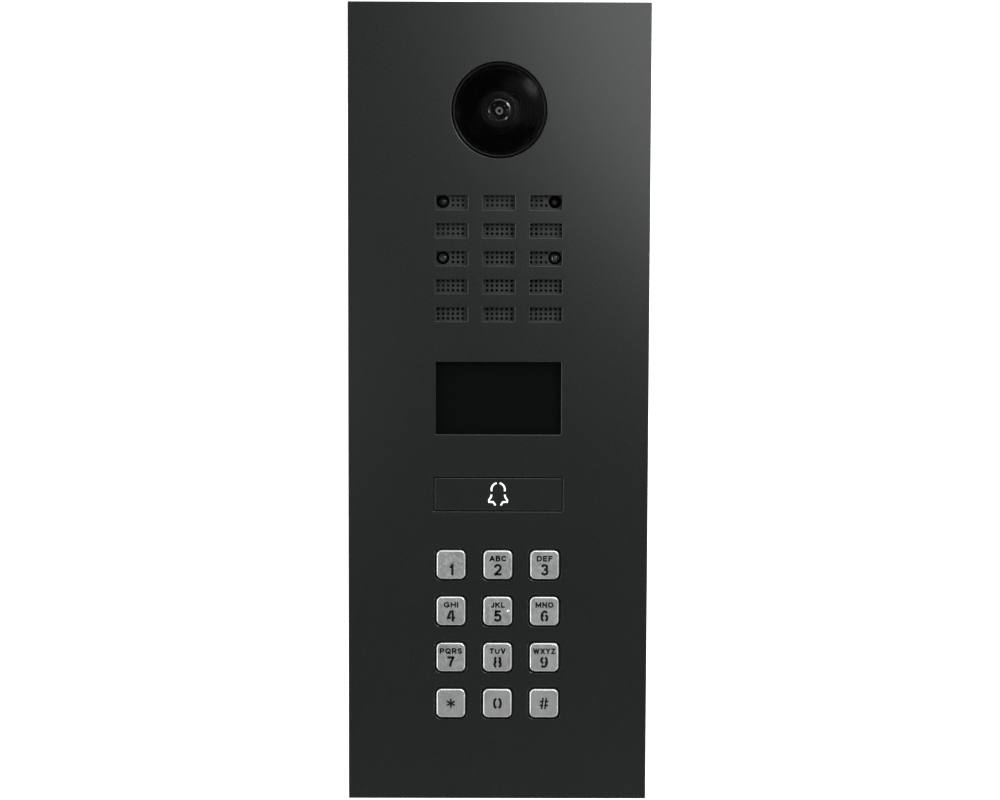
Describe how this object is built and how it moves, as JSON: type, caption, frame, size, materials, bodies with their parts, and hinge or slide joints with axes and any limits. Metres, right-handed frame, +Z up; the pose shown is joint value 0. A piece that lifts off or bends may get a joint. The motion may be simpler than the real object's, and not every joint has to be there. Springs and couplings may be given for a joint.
{
  "type": "door intercom panel",
  "caption": "Door intercom panel: flat metal front plate with camera dome, slotted speaker grille, display window, lit call button and number keypad, on a shallow wall box.",
  "frame": {"origin": "centre of the wall box's rear face, which lies on the wall", "axes": "+Z up, +X to the right seen from the front, +Y into the wall, so the front faces -Y"},
  "size_m": [0.128, 0.0485, 0.34],
  "materials": {
    "plate_paint": "fine satin powder coat",
    "key_steel": "satin, edges polished by use",
    "zinc_steel": "zinc plated",
    "box_steel": "dark powder coat",
    "frame_aluminium": "mill finish",
    "mesh_paint": "dark satin coat",
    "dome_tint": "polished dark tint",
    "display_tint": "polished dark tint",
    "lens_glass": "coated",
    "led_tint": "smoked clear",
    "light_diffuser": "milky, lit from behind",
    "black_plastic": "moulded, fine texture",
    "rubber": "matt",
    "cone_film": "matt film",
    "panel_face": "polished",
    "circuit_board": "solder mask",
    "terminal_plastic": "moulded",
    "jack_shell": "tinned sheet",
    "relay_case": "moulded"
  },
  "bodies": {
    "panel": {"front_plate": "plate_paint", "plate_studs": "zinc_steel", "stud_nuts": "zinc_steel", "perimeter_seal": "rubber", "mounting_frame": "frame_aluminium", "backbox": "box_steel", "cable_grommets": "rubber", "cap_screws": "zinc_steel", "camera_dome": "dome_tint", "camera_gasket": "rubber", "camera_shroud": "black_plastic", "lens_barrel": "black_plastic", "lens_front_glass": "lens_glass", "lens_lock_ring": "zinc_steel", "lens_mount": "black_plastic", "image_sensor": "panel_face", "camera_board": "circuit_board", "camera_bracket": "zinc_steel", "speaker_mesh": "mesh_paint", "speaker_gasket": "rubber", "speaker_frame": "zinc_steel", "speaker_cone": "cone_film", "speaker_magnet": "zinc_steel", "sensor_board": "circuit_board", "ir_leds": "led_tint", "light_sensor": "led_tint", "microphone": "zinc_steel", "microphone_boot": "rubber", "display_gasket": "rubber", "display_glass": "display_tint", "display_panel": "panel_face", "display_board": "circuit_board", "button_springs": "zinc_steel", "button_switches": "black_plastic", "button_board": "circuit_board", "keypad_mat": "rubber", "keypad_board": "circuit_board", "keypad_frame": "black_plastic", "inner_chassis": "black_plastic", "main_board": "circuit_board", "terminal_block": "terminal_plastic", "network_jack": "jack_shell", "relays": "relay_case", "rear_cover": "black_plastic", "pan_screws": "zinc_steel"},
    "key_1": {"key_1": "key_steel"},
    "key_2": {"key_2": "key_steel"},
    "key_3": {"key_3": "key_steel"},
    "key_4": {"key_4": "key_steel"},
    "key_5": {"key_5": "key_steel"},
    "key_6": {"key_6": "key_steel"},
    "key_7": {"key_7": "key_steel"},
    "key_8": {"key_8": "key_steel"},
    "key_9": {"key_9": "key_steel"},
    "key_star": {"key_star": "key_steel"},
    "key_0": {"key_0": "key_steel"},
    "key_hash": {"key_hash": "key_steel"},
    "call_button": {"call_button": "plate_paint", "bell_light_guide": "light_diffuser", "button_carrier": "black_plastic"}
  },
  "joints": [
    {"name": "key_1_press", "type": "slide", "parent": "panel", "child": "key_1", "axis": [0, 1, 0], "range_m": [0, 0.001], "stiffness_N_per_m": 400, "springref_m": -0.002, "deforming": ["keypad_mat"]},
    {"name": "key_2_press", "type": "slide", "parent": "panel", "child": "key_2", "axis": [0, 1, 0], "range_m": [0, 0.001], "stiffness_N_per_m": 400, "springref_m": -0.002, "deforming": ["keypad_mat"]},
    {"name": "key_3_press", "type": "slide", "parent": "panel", "child": "key_3", "axis": [0, 1, 0], "range_m": [0, 0.001], "stiffness_N_per_m": 400, "springref_m": -0.002, "deforming": ["keypad_mat"]},
    {"name": "key_4_press", "type": "slide", "parent": "panel", "child": "key_4", "axis": [0, 1, 0], "range_m": [0, 0.001], "stiffness_N_per_m": 400, "springref_m": -0.002, "deforming": ["keypad_mat"]},
    {"name": "key_5_press", "type": "slide", "parent": "panel", "child": "key_5", "axis": [0, 1, 0], "range_m": [0, 0.001], "stiffness_N_per_m": 400, "springref_m": -0.002, "deforming": ["keypad_mat"]},
    {"name": "key_6_press", "type": "slide", "parent": "panel", "child": "key_6", "axis": [0, 1, 0], "range_m": [0, 0.001], "stiffness_N_per_m": 400, "springref_m": -0.002, "deforming": ["keypad_mat"]},
    {"name": "key_7_press", "type": "slide", "parent": "panel", "child": "key_7", "axis": [0, 1, 0], "range_m": [0, 0.001], "stiffness_N_per_m": 400, "springref_m": -0.002, "deforming": ["keypad_mat"]},
    {"name": "key_8_press", "type": "slide", "parent": "panel", "child": "key_8", "axis": [0, 1, 0], "range_m": [0, 0.001], "stiffness_N_per_m": 400, "springref_m": -0.002, "deforming": ["keypad_mat"]},
    {"name": "key_9_press", "type": "slide", "parent": "panel", "child": "key_9", "axis": [0, 1, 0], "range_m": [0, 0.001], "stiffness_N_per_m": 400, "springref_m": -0.002, "deforming": ["keypad_mat"]},
    {"name": "key_star_press", "type": "slide", "parent": "panel", "child": "key_star", "axis": [0, 1, 0], "range_m": [0, 0.001], "stiffness_N_per_m": 400, "springref_m": -0.002, "deforming": ["keypad_mat"]},
    {"name": "key_0_press", "type": "slide", "parent": "panel", "child": "key_0", "axis": [0, 1, 0], "range_m": [0, 0.001], "stiffness_N_per_m": 400, "springref_m": -0.002, "deforming": ["keypad_mat"]},
    {"name": "key_hash_press", "type": "slide", "parent": "panel", "child": "key_hash", "axis": [0, 1, 0], "range_m": [0, 0.001], "stiffness_N_per_m": 400, "springref_m": -0.002, "deforming": ["keypad_mat"]},
    {"name": "call_button_press", "type": "slide", "parent": "panel", "child": "call_button", "axis": [0, 1, 0], "range_m": [0, 0.0007], "stiffness_N_per_m": 400, "springref_m": -0.002, "deforming": ["button_springs"]}
  ]
}
